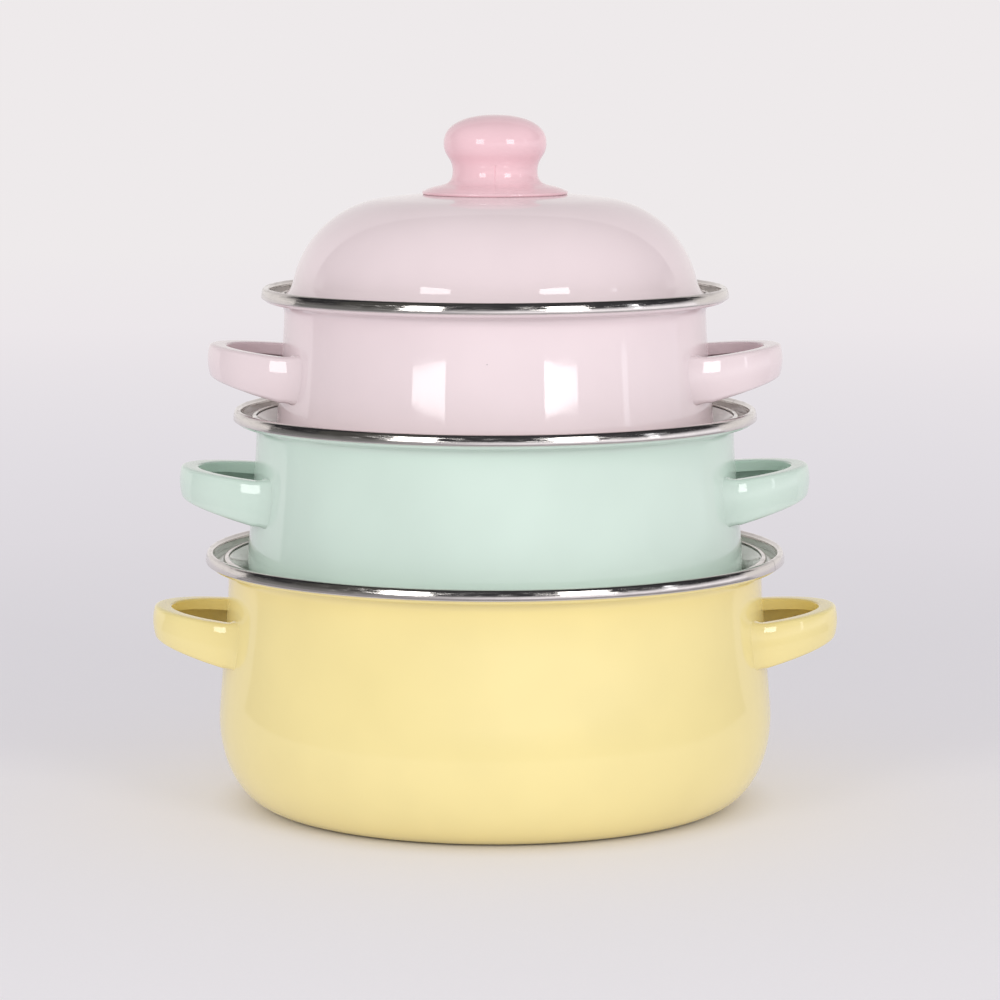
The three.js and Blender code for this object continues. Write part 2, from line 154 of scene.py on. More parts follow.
class Pot:
    """Sizes of one pot and its lid: those of the frame, and hidden curves in mm and turns in degrees."""

    def __init__(self, name, belly, belly_height, base, shoulder, crown, turn, band_joint, lid_upturned):
        body_low, body_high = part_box(f"{name}_pot_body")
        edge_low, edge_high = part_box(f"{name}_lid_band")
        shell_low, shell_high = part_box(f"{name}_lid_shell")
        knob_low, knob_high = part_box(f"{name}_knob")
        self.name = name
        self.floor = body_low.z
        self.lip = body_high.x
        self.neck = self.lip - LIP_REACH
        self.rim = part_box(f"{name}_rim_band")[1].z
        self.belly = belly * MM
        self.belly_height = self.floor + belly_height * MM
        self.base = base * MM
        self.turn = math.radians(turn)
        self.band_joint = math.radians(band_joint)
        self.lid_upturned = lid_upturned
        self.lid_edge = (edge_low.z + edge_high.z) / 2
        if lid_upturned:
            self.lid_height, self.knob_top = self.lid_edge - shell_low.z, self.lid_edge - knob_low.z
        else:
            self.lid_height, self.knob_top = shell_high.z - self.lid_edge, knob_high.z - self.lid_edge
        self.shoulder = shoulder * MM
        self.crown = crown * MM

    def crown_height(self, radius):
        """Height of the lid's outside above its edge, near the middle."""
        return self.lid_height - self.crown + math.sqrt(self.crown ** 2 - radius ** 2)


YELLOW = Pot(
    "yellow", belly=96.8, belly_height=30, base=78, shoulder=37, crown=377,
    turn=0, band_joint=-18.6, lid_upturned=True,
)
MINT = Pot(
    "mint", belly=86.4, belly_height=27, base=69, shoulder=35, crown=368,
    turn=1.5, band_joint=17, lid_upturned=True,
)
PINK = Pot(
    "pink", belly=76, belly_height=24, base=60, shoulder=36, crown=330,
    turn=0, band_joint=120, lid_upturned=False,
)


# Outlines

def arc(middle, radii, start, end, steps=ARC_STEPS, fullness=2):
    """Points along an ellipse from one angle to another, in degrees. A fullness over 2 squares it."""
    points = []
    for i in range(steps + 1):
        angle = math.radians(start + (end - start) * i / steps)
        sides = (math.cos(angle), math.sin(angle))
        points.append(tuple(
            m + radius * math.copysign(abs(side) ** (2 / fullness), side)
            for m, radius, side in zip(middle, radii, sides)
        ))
    return points


def sweep(start, start_pull, end_pull, end):
    """Points along a smooth curve with two pulls."""
    knots = [Vector((*p, 0)) for p in (start, start_pull, end_pull, end)]
    return [(p.x, p.y) for p in interpolate_bezier(*knots, CURVE_STEPS)]


def wall_outline(pot):
    """Outside of the pot from its base to the lip."""
    ledge = pot.rim - LEDGE_DROP
    neck_top = ledge - FLARE
    rise = neck_top - pot.belly_height
    corner_height = pot.belly_height - pot.floor
    return [
        (0, pot.floor),
        *arc((pot.base, pot.belly_height), (pot.belly - pot.base, corner_height), -90, 0, CURVE_STEPS),
        *sweep(
            (pot.belly, pot.belly_height), (pot.belly, pot.belly_height + BELLY_PULL * rise),
            (pot.neck, neck_top - NECK_PULL * rise), (pot.neck, neck_top),
        ),
        *arc((pot.neck + FLARE, neck_top), (FLARE, FLARE), 180, 90),
        *arc((pot.lip - LIP_ROUND, ledge + LIP_ROUND), (LIP_ROUND, LIP_ROUND), -90, 0),
        (pot.lip - LIP_LEAN, pot.rim - LIP_DROP),
    ]


def wall_radius(pot, height):
    """Outside radius of the pot's wall at a height between its belly and its neck."""
    line = [p for p in wall_outline(pot) if pot.belly_height <= p[1] <= pot.rim - LEDGE_DROP - FLARE]
    for (r0, z0), (r1, z1) in zip(line, line[1:]):
        if z0 <= height <= z1 and z1 > z0:
            return r0 + (r1 - r0) * (height - z0) / (z1 - z0)
    return pot.belly


def rim_band_outline(pot):
    """Outside of the band: a bulged face that runs into the rounded top, and the leg inside the lip."""
    face = Vector((pot.lip + BAND_STAND - BAND_FACE, 0))
    low, high = (math.radians(angle) for angle in (BAND_FACE_LOW, BAND_FACE_HIGH))
    face.y = pot.rim - BAND_HEIGHT + BAND_EDGE - (BAND_FACE - BAND_EDGE) * math.sin(low)
    edge = face + (BAND_FACE - BAND_EDGE) * Vector((math.cos(low), math.sin(low)))
    # The top's round meets the face without a corner and ends level with the rim
    top = (pot.rim - face.y - BAND_FACE * math.sin(high)) / (1 - math.sin(high))
    crest = face + (BAND_FACE - top) * Vector((math.cos(high), math.sin(high)))
    return [
        *arc(edge, (BAND_EDGE, BAND_EDGE), BAND_EDGE_START, BAND_FACE_LOW, CORNER_STEPS),
        *arc(face, (BAND_FACE, BAND_FACE), BAND_FACE_LOW, BAND_FACE_HIGH, BAND_FACE_STEPS)[1:],
        *arc(crest, (top, top), BAND_FACE_HIGH, 180)[1:],
        (crest.x - top, pot.rim - BAND_INNER_LEG),
    ]


def lid_shell_outline(pot):
    """Outside of the lid from its edge to the screw hole, measured from the edge's middle."""
    top = SHEET / 2
    inward = Vector((-math.cos(LID_WALL_TILT), -math.sin(LID_WALL_TILT)))
    up = Vector((-math.sin(LID_WALL_TILT), math.cos(LID_WALL_TILT)))
    edge = pot.neck + LID_OVERHANG - LID_BAND_SHEET - GAP
    flare_start = pot.neck + LID_OVERHANG - LID_BAND_DEPTH
    wall_foot = Vector((flare_start - LID_FLARE[0], top + LID_FLARE[1]))
    flare = sweep(
        (flare_start, top), (flare_start - LID_FLARE_PULL[0], top + LID_FLARE_PULL[1]),
        wall_foot - up * LID_WALL_PULL, wall_foot,
    )
    # The shoulder's middle lies one shoulder radius inside both the wall and the crown
    start = wall_foot + inward * pot.shoulder
    crown_middle = Vector((0, pot.lid_height - pot.crown))
    back = start - crown_middle
    half = back.dot(up)
    climb = -half + math.sqrt(half ** 2 - back.length_squared + (pot.crown - pot.shoulder) ** 2)
    shoulder = start + up * climb
    tilt = math.degrees(LID_WALL_TILT)
    shoulder_top = math.degrees(math.atan2(shoulder.y - crown_middle.y, shoulder.x))
    hole = math.degrees(math.acos((SCREW + GAP) / pot.crown))
    return [
        (edge, top),
        *flare,
        *arc(shoulder, (pot.shoulder, pot.shoulder), tilt, shoulder_top, CURVE_STEPS)[1:],
        *arc(crown_middle, (pot.crown, pot.crown), shoulder_top, hole)[1:],
    ]


def lid_band_outline(pot):
    """Outside of the strip round the lid's edge, measured from the edge's middle."""
    outside = pot.neck + LID_OVERHANG
    corner = (LID_BAND_ROUND, LID_BAND_ROUND)
    middle = outside - LID_BAND_ROUND
    return [
        (outside - LID_BAND_DEPTH, -LID_BAND_HALF),
        *arc((middle, LID_BAND_ROUND - LID_BAND_HALF), corner, -90, 0, CORNER_STEPS),
        *arc((middle, LID_BAND_HALF - LID_BAND_ROUND), corner, 0, 90, CORNER_STEPS),
        (outside - LID_BAND_DEPTH, LID_BAND_HALF),
    ]


def knob_outline(pot):
    """Hollow knob from the end of its screw bore, over the foot, to the middle of its head."""
    def under(radius):
        return pot.crown_height(radius) + KNOB_SEAT

    foot = under(KNOB_FOOT)
    datum = pot.knob_top - KNOB_HEIGHT
    bore = SCREW + GAP
    bore_top = pot.crown_height(bore) + SCREW_REACH + 2 * GAP
    core = KNOB_WAIST - KNOB_WALL
    waist = datum + KNOB_WAIST_HEIGHT
    head = datum + KNOB_HEAD_HEIGHT
    head_radii = (KNOB_HEAD, KNOB_HEIGHT - KNOB_HEAD_HEIGHT)
    swell = (head - waist) / 2
    edge = (KNOB_EDGE_ROUND, KNOB_EDGE_ROUND)
    edge_middle = KNOB_FOOT - KNOB_EDGE_ROUND
    edge_top = foot + KNOB_FOOT_EDGE
    return [
        (0, bore_top), (bore, bore_top), (bore, under(bore)), (KNOB_BOSS, under(KNOB_BOSS)),
        (KNOB_BOSS, head), (core, head), (core, under(core)),
        *arc((edge_middle, foot + KNOB_EDGE_ROUND), edge, -90, 0, SMALL_STEPS),
        *arc((edge_middle, edge_top - KNOB_EDGE_ROUND), edge, 0, KNOB_EDGE_END, SMALL_STEPS),
        *sweep(
            (edge_middle, edge_top), (edge_middle - KNOB_FOOT_PULL[0], edge_top + KNOB_FOOT_PULL[1]),
            (KNOB_WAIST, waist - KNOB_WAIST_PULL), (KNOB_WAIST, waist),
        ),
        *sweep(
            (KNOB_WAIST, waist), (KNOB_WAIST, waist + swell),
            (KNOB_HEAD, head - swell), (KNOB_HEAD, head),
        )[1:-1],
        *arc((0, head), head_radii, 0, 90, CURVE_STEPS, KNOB_HEAD_FULLNESS),
    ]


def washer_top(pot):
    """Height of the washer's upper face, against the inside of the lid."""
    return pot.crown_height(WASHER) - SHEET - GAP


def washer_outline(pot):
    top = washer_top(pot)
    low = top - WASHER_THICKNESS
    edge = (WASHER_ROUND, WASHER_ROUND)
    inside = SCREW + GAP
    return [
        (inside, low),
        *arc((WASHER - WASHER_ROUND, low + WASHER_ROUND), edge, -90, 0, SMALL_STEPS),
        *arc((WASHER - WASHER_ROUND, top - WASHER_ROUND), edge, 0, 90, SMALL_STEPS),
        (inside, top),
        (inside, low),
    ]


def screw_outline(pot):
    head_top = washer_top(pot) - WASHER_THICKNESS - GAP
    head_round = (SCREW_HEAD_HEIGHT / 2, SCREW_HEAD_HEIGHT)
    end = pot.crown_height(SCREW) + GAP + SCREW_REACH
    return [
        (0, head_top - SCREW_HEAD_HEIGHT),
        *arc((SCREW_HEAD - SCREW_HEAD_HEIGHT / 2, head_top), head_round, -90, 0),
        (SCREW, head_top),
        (SCREW, end - SCREW / 2),
        (SCREW / 2, end),
        (0, end),
    ]


# Shaping

def turned(outline, steps=ROUND_STEPS, start=0, angle=2 * math.pi):
    """Spins an outline of radius and height about Z."""
    bm = bmesh.new()
    corners = [bm.verts.new((r, 0, z)) for r, z in outline]
    for a, b in zip(corners, corners[1:]):
        bm.edges.new((a, b))
    turn(bm, start)
    bmesh.ops.spin(
        bm, geom=bm.verts[:] + bm.edges[:], cent=(0, 0, 0), axis=(0, 0, 1), dvec=(0, 0, 0),
        angle=angle, steps=steps, use_merge=math.isclose(angle, 2 * math.pi), use_duplicate=False,
    )
    close(bm)
    return bm


def close(bm):
    """Welds the seam and the poles, then turns every face outwards."""
    bmesh.ops.remove_doubles(bm, verts=bm.verts, dist=WELD)
    bmesh.ops.dissolve_degenerate(bm, edges=bm.edges, dist=WELD)
    bmesh.ops.recalc_face_normals(bm, faces=bm.faces)


def turn(bm, angle, axis="Z"):
    bmesh.ops.rotate(bm, verts=bm.verts, cent=(0, 0, 0), matrix=Matrix.Rotation(angle, 3, axis))


def thicken(bm, thickness, inside_finish=0):
    """Gives a skin its wall, on the inside, with a finish of its own there."""
    made = bmesh.ops.solidify(bm, geom=bm.faces[:], thickness=thickness)
    for part in made["geom"]:
        if isinstance(part, bmesh.types.BMFace):
            part.material_index = inside_finish


def seat_lid(bm, pot):
    """Lays a piece of the lid where the frame has it."""
    if pot.lid_upturned:
        turn(bm, math.pi, "X")
    bmesh.ops.translate(bm, verts=bm.verts, vec=(0, 0, pot.lid_edge))


def new_object(bm, name):
    """Puts a shape into the scene."""
    mesh = bpy.data.meshes.new(name)
    bm.to_mesh(mesh)
    bm.free()
    made = bpy.data.objects.new(name, mesh)
    bpy.context.scene.collection.objects.link(made)
    return made


def add_piece(bm, node, body, slot, *finishes):
    """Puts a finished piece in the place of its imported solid."""
    piece = new_object(bm, f"{node}_finished")
    piece.data.shade_smooth()
    piece.data.set_sharp_from_angle(angle=SHARP)
    for finish in finishes:
        piece.data.materials.append(finish)
    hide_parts(node)
    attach(piece, body)


# Pieces

def pot_body(pot):
    bm = turned(wall_outline(pot))
    thicken(bm, SHEET, inside_finish=1)
    return bm


def rim_band(pot):
    """A strip bent round the lip, with its two ends meeting in a joint."""
    joint = BAND_JOINT / pot.lip
    bm = turned(rim_band_outline(pot), start=pot.band_joint + joint / 2, angle=2 * math.pi - joint)
    thicken(bm, BAND_SHEET)
    return bm


def handle_section():
    """Outside of the pressed channel from lip to lip: depth away from the pot, and height from its middle."""
    half = HANDLE_WIDTH / 2
    edge = half - HANDLE_EDGE
    face_end = math.asin(edge / (HANDLE_FACE - HANDLE_EDGE))
    edge_depth = HANDLE_DEPTH - HANDLE_FACE + (HANDLE_FACE - HANDLE_EDGE) * math.cos(face_end)
    face_angle = math.degrees(face_end)
    upper = [
        (0, half - HANDLE_LIP),
        (0, half - HANDLE_LIP_LINE * HANDLE_LIP),
        *arc((HANDLE_CORNER, half - HANDLE_CORNER), (HANDLE_CORNER, HANDLE_CORNER), 180, 90, CORNER_STEPS),
        *arc((edge_depth, edge), (HANDLE_EDGE, HANDLE_EDGE), 90, face_angle, HANDLE_EDGE_STEPS),
        *arc(
            (HANDLE_DEPTH - HANDLE_FACE, 0), (HANDLE_FACE, HANDLE_FACE), face_angle, 0, HANDLE_FACE_STEPS,
        )[1:],
    ]
    lower = [(depth, -height) for depth, height in reversed(upper[:-1])]
    return upper + lower


def bent_loop():
    """Bends the channel into an oval loop, and finds the edges of its two open ends."""
    bm = bmesh.new()
    corners = [bm.verts.new((0, -LOOP_HALF_SPAN - depth, height)) for depth, height in handle_section()]
    near_end = [bm.edges.new(pair) for pair in zip(corners, corners[1:])]
    turn(bm, LOOP_START)
    made = bmesh.ops.spin(
        bm, geom=bm.verts[:] + bm.edges[:], cent=(0, 0, 0), axis=(0, 0, 1), dvec=(0, 0, 0),
        angle=math.pi - 2 * LOOP_START, steps=LOOP_STEPS, use_merge=False, use_duplicate=False,
    )
    far_end = [part for part in made["geom_last"] if isinstance(part, bmesh.types.BMEdge)]
    narrowing = LOOP_HALF_SPAN - LOOP_HALF_LENGTH
    for v in bm.verts:
        v.co.x *= 1 - narrowing / v.co.xy.length
    return bm, near_end + far_end


def add_legs(bm, leg_ends):
    """Adds the legs' corners at the loop's ends, and says what share of its leg each one has to run."""
    shares = {}
    for step in range(1, LEG_STEPS + 1):
        made = bmesh.ops.extrude_edge_only(bm, edges=leg_ends)["geom"]
        leg_ends = [part for part in made if isinstance(part, bmesh.types.BMEdge)]
        for part in made:
            if isinstance(part, bmesh.types.BMVert):
                shares[part] = step / LEG_STEPS
    return shares


def leg_run(pot, start):
    """Run of a leg along X from where it starts into the wall, which falls back as the leg spreads."""
    radius = wall_radius(pot, start.z) - WELD_DEPTH
    run = 0
    for _ in range(LEG_PASSES):
        run = start.x - math.sqrt(radius ** 2 - (abs(start.y) + run * LEG_SPREAD) ** 2)
    return run


def handle(pot, angle):
    """A bent channel with its legs run into the wall and swollen where they are welded."""
    bm, leg_ends = bent_loop()
    bmesh.ops.translate(bm, verts=bm.verts, vec=(pot.neck - HANDLE_INSET, 0, 0))
    leg_shares = add_legs(bm, leg_ends)
    set_handle_height(bm, pot)
    for v, share in leg_shares.items():
        run = leg_run(pot, v.co) * share
        v.co.x -= run
        v.co.y += math.copysign(run * LEG_SPREAD, v.co.y)
    close(bm)
    bm.normal_update()
    for v, share in leg_shares.items():
        outwards = Vector((0, v.normal.y, v.normal.z))
        v.co += outwards * WELD_FILLET * max(share - FILLET_START, 0) ** 2
    thicken(bm, SHEET)
    turn(bm, angle)
    return bm


def set_handle_height(bm, pot):
    """Lays the channel's width between its tilted top and bottom lines."""
    for v in bm.verts:
        run = v.co.x - pot.neck
        top = pot.rim - HANDLE_TOP_DROP + run * math.tan(HANDLE_TOP_TILT)
        bottom = pot.rim - HANDLE_TOP_DROP - HANDLE_WIDTH + run * math.tan(HANDLE_BOTTOM_TILT)
        v.co.z = bottom + (top - bottom) * (v.co.z / HANDLE_WIDTH + 0.5)


def lid_shell(pot):
    bm = turned(lid_shell_outline(pot))
    thicken(bm, SHEET, inside_finish=1)
    seat_lid(bm, pot)
    return bm


def lid_band(pot):
    bm = turned(lid_band_outline(pot))
    thicken(bm, LID_BAND_SHEET)
    seat_lid(bm, pot)
    return bm


def knob(pot):
    """A hollow moulding with a fine mould line on its flange, front and back."""
    bm = turned(knob_outline(pot), KNOB_STEPS)
    datum = pot.knob_top - KNOB_HEIGHT
    low, high = datum + KNOB_FOOT_EDGE, datum + KNOB_WAIST_HEIGHT + KNOB_SEAM_RISE

    def on_line(v):
        return abs(v.co.x) < WELD and abs(v.co.y) > KNOB_WAIST - WELD and low < v.co.z < high

    line = [e for e in bm.edges if all(on_line(v) for v in e.verts)]
    made = bmesh.ops.bevel(
        bm, geom=line, offset=KNOB_SEAM, offset_type="OFFSET", segments=2, profile=0.5,
        affect="EDGES", material=-1,
    )
    for v in made["verts"]:
        if abs(v.co.x) < WELD:
            v.co.y -= math.copysign(KNOB_SEAM_DEPTH, v.co.y)
    seat_lid(bm, pot)
    return bm


def knob_screw(pot):
    """A pan-head screw with a slot, cut by a block."""
    outline = screw_outline(pot)
    screw = new_object(turned(outline, SCREW_STEPS), "screw_blank")
    # The block is longer than the head is wide, and half of it stands clear of the head
    block = bmesh.new()
    bmesh.ops.create_cube(block, size=1)
    bmesh.ops.scale(block, verts=block.verts, vec=(3 * SCREW_HEAD, SCREW_SLOT, 2 * SCREW_SLOT_DEPTH))
    bmesh.ops.translate(block, verts=block.verts, vec=(0, 0, outline[0][1]))
    cutter = new_object(block, "slot_block")
    slot = screw.modifiers.new("slot", "BOOLEAN")
    slot.operation = "DIFFERENCE"
    slot.object = cutter
    bm = bmesh.new()
    bm.from_object(screw, bpy.context.evaluated_depsgraph_get())
    for spare in (screw, cutter):
        bpy.data.objects.remove(spare)
    bmesh.ops.remove_doubles(bm, verts=bm.verts, dist=WELD)
    seat_lid(bm, pot)
    return bm


def knob_washer(pot):
    bm = turned(washer_outline(pot), SCREW_STEPS)
    seat_lid(bm, pot)
    return bm


# Finishes

def srgb(red, green, blue):
    return Color((red / 255, green / 255, blue / 255)).from_srgb_to_scene_linear()


def shade_of(colour, factor):
    return (*(min(channel * factor, 1) for channel in colour), 1)


def new_finish(name):
    finish = bpy.data.materials.new(name)
    finish.use_nodes = True
    tree = finish.node_tree
    return finish, tree, tree.nodes["Principled BSDF"]


def put(tree, kind, sockets=None, **settings):
    """Adds a node with its settings, and sets or links its sockets."""
    node = tree.nodes.new(f"ShaderNode{kind}")
    for name, value in settings.items():
        setattr(node, name, value)
    for name, value in (sockets or {}).items():
        feed(tree, node.inputs[name], value)
    return node


def feed(tree, socket, value):
    if isinstance(value, bpy.types.NodeSocket):
        tree.links.new(value, socket)
    else:
        socket.default_value = value


def place(tree):
    return put(tree, "TexCoord").outputs["Object"]


def noise(tree, where, scale, detail=2.0):
    return put(tree, "TexNoise", {"Vector": where, "Scale": scale, "Detail": detail}).outputs["Fac"]


def flattened(tree, where, times):
    """Squeezes a pattern in height, so that it runs along the bands."""
    return put(tree, "Mapping", {"Vector": where, "Scale": (1, 1, times)}).outputs["Vector"]


def spread(tree, value, low, high, start=0.3, end=0.7):
    """Maps a pattern's middle range to a range of its own."""
    sockets = {"Value": value, "From Min": start, "From Max": end, "To Min": low, "To Max": high}
    return put(tree, "MapRange", sockets).outputs["Result"]


def rising(tree, value, limits):
    """0 up to the first limit, 1 from the second."""
    return spread(tree, value, 0, 1, *limits)


def falling(tree, value, limits):
    """1 up to the first limit, 0 from the second."""
    return spread(tree, value, 1, 0, *limits)


def worked(tree, operation, *values):
    """Result of one step of arithmetic."""
    return put(tree, "Math", dict(enumerate(values)), operation=operation).outputs[0]


def product(tree, *shares):
    total = shares[0]
    for share in shares[1:]:
        total = worked(tree, "MULTIPLY", total, share)
    return total


def blended(tree, share, first, second):
    """A colour between two others, by the colour sockets of a Mix node."""
    factor, from_colour, to_colour, result = 0, 6, 7, 2
    node = put(tree, "Mix", {factor: share, from_colour: first, to_colour: second}, data_type="RGBA")
    return node.outputs[result]


def mottled(tree, share, colour, dark, light):
    """A colour that changes between two shades of itself."""
    return blended(tree, share, shade_of(colour, dark), shade_of(colour, light))


def ramp_tone(tree, value, stops):
    """Colours along a value from 0 to 1."""
    node = put(tree, "ValToRGB", {"Fac": value})
    for position, _ in stops[1:-1]:
        node.color_ramp.elements.new(position)
    for element, (position, tone) in zip(node.color_ramp.elements, stops):
        element.position = position
        element.color = (*tone, 1)
    return node.outputs["Color"]


def layered(tree, share, first, second):
    """One surface over another, by a share."""
    return put(tree, "MixShader", {0: share, 1: first.outputs[0], 2: second.outputs[0]})


def relief(tree, height, depth, normal=None):
    sockets = {"Height": height, "Distance": depth, "Strength": 1.0}
    if normal:
        sockets["Normal"] = normal
    return put(tree, "Bump", sockets).outputs["Normal"]


def enamel(name, colour):
    """Fired glass coat: cloudy tone, rare dark specks, slow ripples and a fine orange peel."""
    finish, tree, shader = new_finish(name)
    where = place(tree)
    cloud = spread(tree, noise(tree, where, scale=28), low=0, high=1)
    tone = mottled(tree, cloud, colour, dark=0.97, light=1.02)
    cells = put(tree, "TexVoronoi", {"Vector": where, "Scale": 420.0}).outputs
    rare = spread(tree, cells["Color"], low=0, high=1, start=0.965, end=0.97)
    dot = spread(tree, cells["Distance"], low=1, high=0, start=0.05, end=0.11)
    speck = shade_of(colour, 0.55)
    feed(tree, shader.inputs["Base Color"], blended(tree, product(tree, rare, dot), tone, speck))
    wear = noise(tree, where, scale=60, detail=4.0)
    feed(tree, shader.inputs["Roughness"], spread(tree, wear, low=0.02, high=0.05))
    ripples = relief(tree, noise(tree, where, scale=120, detail=1.0), depth=0.008 * MM)
    peel = relief(tree, noise(tree, where, scale=640), depth=0.002 * MM, normal=ripples)
    feed(tree, shader.inputs["Normal"], peel)
    shader.inputs["IOR"].default_value = 1.55
    return finish


def polished_steel(name, colour):
    """Rolled strip: fine lines round the axis, dents, smudges and dull streaks along it."""
    finish, tree, shader = new_finish(name)
    where = place(tree)
    smudge = spread(tree, noise(tree, where, scale=75, detail=4.0), low=0, high=1)
    feed(tree, shader.inputs["Base Color"], mottled(tree, smudge, colour, dark=0.94, light=1.04))
    streaks = noise(tree, flattened(tree, where, times=18), scale=160, detail=4.0)
    feed(tree, shader.inputs["Roughness"], spread(tree, streaks, low=0.05, high=0.24, start=0.42, end=0.7))
    dents = relief(tree, noise(tree, where, scale=230), depth=0.025 * MM)
    lines = noise(tree, flattened(tree, where, times=40), scale=110)
    feed(tree, shader.inputs["Normal"], relief(tree, lines, depth=0.004 * MM, normal=dents))
    shader.inputs["Anisotropic"].default_value = 0.75
    shader.inputs["Metallic"].default_value = 1
    return finish


def moulded_plastic(name, colour):
    """Glossy moulding with a cloudy tone, handling marks and a soft ripple."""
    finish, tree, shader = new_finish(name)
    where = place(tree)
    cloud = spread(tree, noise(tree, where, scale=70), low=0, high=1)
    feed(tree, shader.inputs["Base Color"], mottled(tree, cloud, colour, dark=0.96, light=1.03))
    marks = noise(tree, where, scale=190, detail=4.0)
    feed(tree, shader.inputs["Roughness"], spread(tree, marks, low=0.06, high=0.13))
    ripple = noise(tree, where, scale=300, detail=1.0)
    feed(tree, shader.inputs["Normal"], relief(tree, ripple, depth=0.006 * MM))
    shader.inputs["IOR"].default_value = 1.5
    return finish


def zinc_plate(name, colour):
    """Dull plated steel with crystals and scratches."""
    finish, tree, shader = new_finish(name)
    where = place(tree)
    crystals = put(tree, "TexVoronoi", {"Vector": where, "Scale": 900.0}).outputs["Color"]
    feed(tree, shader.inputs["Base Color"], mottled(tree, crystals, colour, dark=0.85, light=1.1))
    dullness = noise(tree, where, scale=800, detail=4.0)
    feed(tree, shader.inputs["Roughness"], spread(tree, dullness, low=0.26, high=0.42))
    scratches = noise(tree, where, scale=1500)
    feed(tree, shader.inputs["Normal"], relief(tree, scratches, depth=0.004 * MM))
    shader.inputs["Metallic"].default_value = 1
    return finish


WHITE_ENAMEL = enamel("white_enamel", srgb(238, 236, 230))
RIM_STEEL = polished_steel("rim_steel", srgb(222, 217, 213))
ZINC = zinc_plate("zinc_steel", srgb(182, 184, 188))
ENAMEL = {
    "yellow": enamel("yellow_enamel", srgb(245, 228, 161)),
    "mint": enamel("mint_enamel", srgb(211, 229, 218)),
    "pink": enamel("pink_enamel", srgb(237, 221, 224)),
}
PLASTIC = {
    "yellow": moulded_plastic("yellow_plastic", srgb(240, 212, 134)),
    "mint": moulded_plastic("mint_plastic", srgb(186, 217, 203)),
    "pink": moulded_plastic("pink_plastic", srgb(242, 204, 211)),
}


# The set

for pot in (YELLOW, MINT, PINK):
    coat = ENAMEL[pot.name]
    enamel_slot = f"{pot.name}_enamel"
    body, lid = f"{pot.name}_pot", f"{pot.name}_lid"
    add_piece(pot_body(pot), f"{pot.name}_pot_body", body, enamel_slot, coat, WHITE_ENAMEL)
    add_piece(rim_band(pot), f"{pot.name}_rim_band", body, "rim_steel", RIM_STEEL)
    add_piece(handle(pot, pot.turn), f"{pot.name}_handle_right", body, enamel_slot, coat)
    add_piece(handle(pot, pot.turn + math.pi), f"{pot.name}_handle_left", body, enamel_slot, coat)
    add_piece(lid_shell(pot), f"{pot.name}_lid_shell", lid, enamel_slot, coat, WHITE_ENAMEL)
    add_piece(lid_band(pot), f"{pot.name}_lid_band", lid, "rim_steel", RIM_STEEL)
    add_piece(knob(pot), f"{pot.name}_knob", lid, f"{pot.name}_plastic", PLASTIC[pot.name])
    add_piece(knob_screw(pot), f"{pot.name}_knob_screw", lid, "zinc_steel", ZINC)
    add_piece(knob_washer(pot), f"{pot.name}_knob_washer", lid, "zinc_steel", ZINC)


# Floor, light and camera

FLOOR_REACH = 12.0
FLOOR_DROP = 0.2 * MM  # below the base
PALE = srgb(238, 234, 235)
PAPER = srgb(235, 232, 236)
# Painted shade: the paper behind the pots is a little darker
PAPER_SHADED_BEHIND = srgb(232, 229, 234)
PAPER_SHADE_TURN = (0.03, 0.1)  # Y, where the paper turns to its painted shade behind the pots
PAPER_GRAIN = 0.015
PAINTED_PAPER_GLOW = 0.22  # share of painted glow: emission that lightens the paper and its shadows, away from the pots
PAINTED_GLOW_START = (0.08, 0.1)  # from the middle, as are the next four
FAR_GLOW_FADE = (0.3, 0.7)
FAR_PAINTED_SHADE_REACH = (0.2, 3.2)
GLOSS_PAPER_END = (0.39, 0.41)
FRONT_FLOOR_FADE = (0.6, 3.0)
FAR_PAINTED_SHADE = [  # painted shade of the glowing far floor along its reach: darker near the pots, pale far off
    (0.0, srgb(216, 212, 217)), (0.27, srgb(225, 221, 226)), (0.63, srgb(236, 231, 234)), (1.0, PALE),
]

# Light of the surroundings, with limits as parts of a direction of length 1
FRONT_FILL = (0.82, 0.815, 0.82, 1)
BACK_FILL = (1.0, 0.99, 1.0, 1)
TOP_FILL = (0.57, 0.565, 0.57, 1)
FILL_TURN = (-0.2, 0.5)  # Y, front to back
FILL_TOP = (0.4, 0.75)  # Z
FRONT_LEFT = (0.2, 0.2, 0.2, 1)
FRONT_RIGHT = (1.15, 1.12, 1.18, 1)
FRONT_TURN = (-0.8, 0.1)  # X, left to right
FRONT_TOP = (0.03, 0.2)  # Z, where the room begins
FRONT_FLOOR = (0.36, 0.35, 0.37, 1)
BACKDROP = (0.9, 0.87, 0.86, 1)
BACKDROP_TOP = (0.45, 0.42, 0.43, 1)
BACKDROP_FADE = (0.1, 0.7)  # Z, from one to the other
BACKDROP_SIDE = (0.58, 0.595)  # Y
WING_SIDE = (0.41, 0.44)  # Y, where the backdrop is wider, near the floor
WING_TOP = (0.1, 0.3)  # Z
WINDOW = (2.6, 2.65, 2.8, 1)
WINDOW_BEARING = math.radians(107)
WINDOW_SIDE = (math.radians(1.5), math.radians(2.1))  # from its middle
WINDOW_FOOT = (0.0, 0.03)  # Z
WINDOW_TOP = (0.3, 0.34)  # Z
DARK_ROOM = Color((0.03, 0.03, 0.033))
DIM_ROOM = Color((0.05, 0.05, 0.055))
GREY_SCREEN = Color((0.08, 0.08, 0.075))

# Soft lights and camera
BOX_SIZE = (0.5, 0.64)
BOX_BEARING = math.radians(34.3)  # beside the camera
BOX_DISTANCE = 1.6
BOX_MIDDLE = 0.565  # above the floor
CAMERA_PLACE = (0.0017, -1.309, 0.2709)
CAMERA_DOWN = math.radians(7.2086)
CAMERA_SIGHT = 100
LENS_LENGTH = 135.94  # mm
SENSOR_WIDTH = 36  # mm


def bearing_share(degrees):
    """Place of a bearing from the backdrop's middle, clockwise, along the room's colours."""
    return degrees / 360 + 0.5


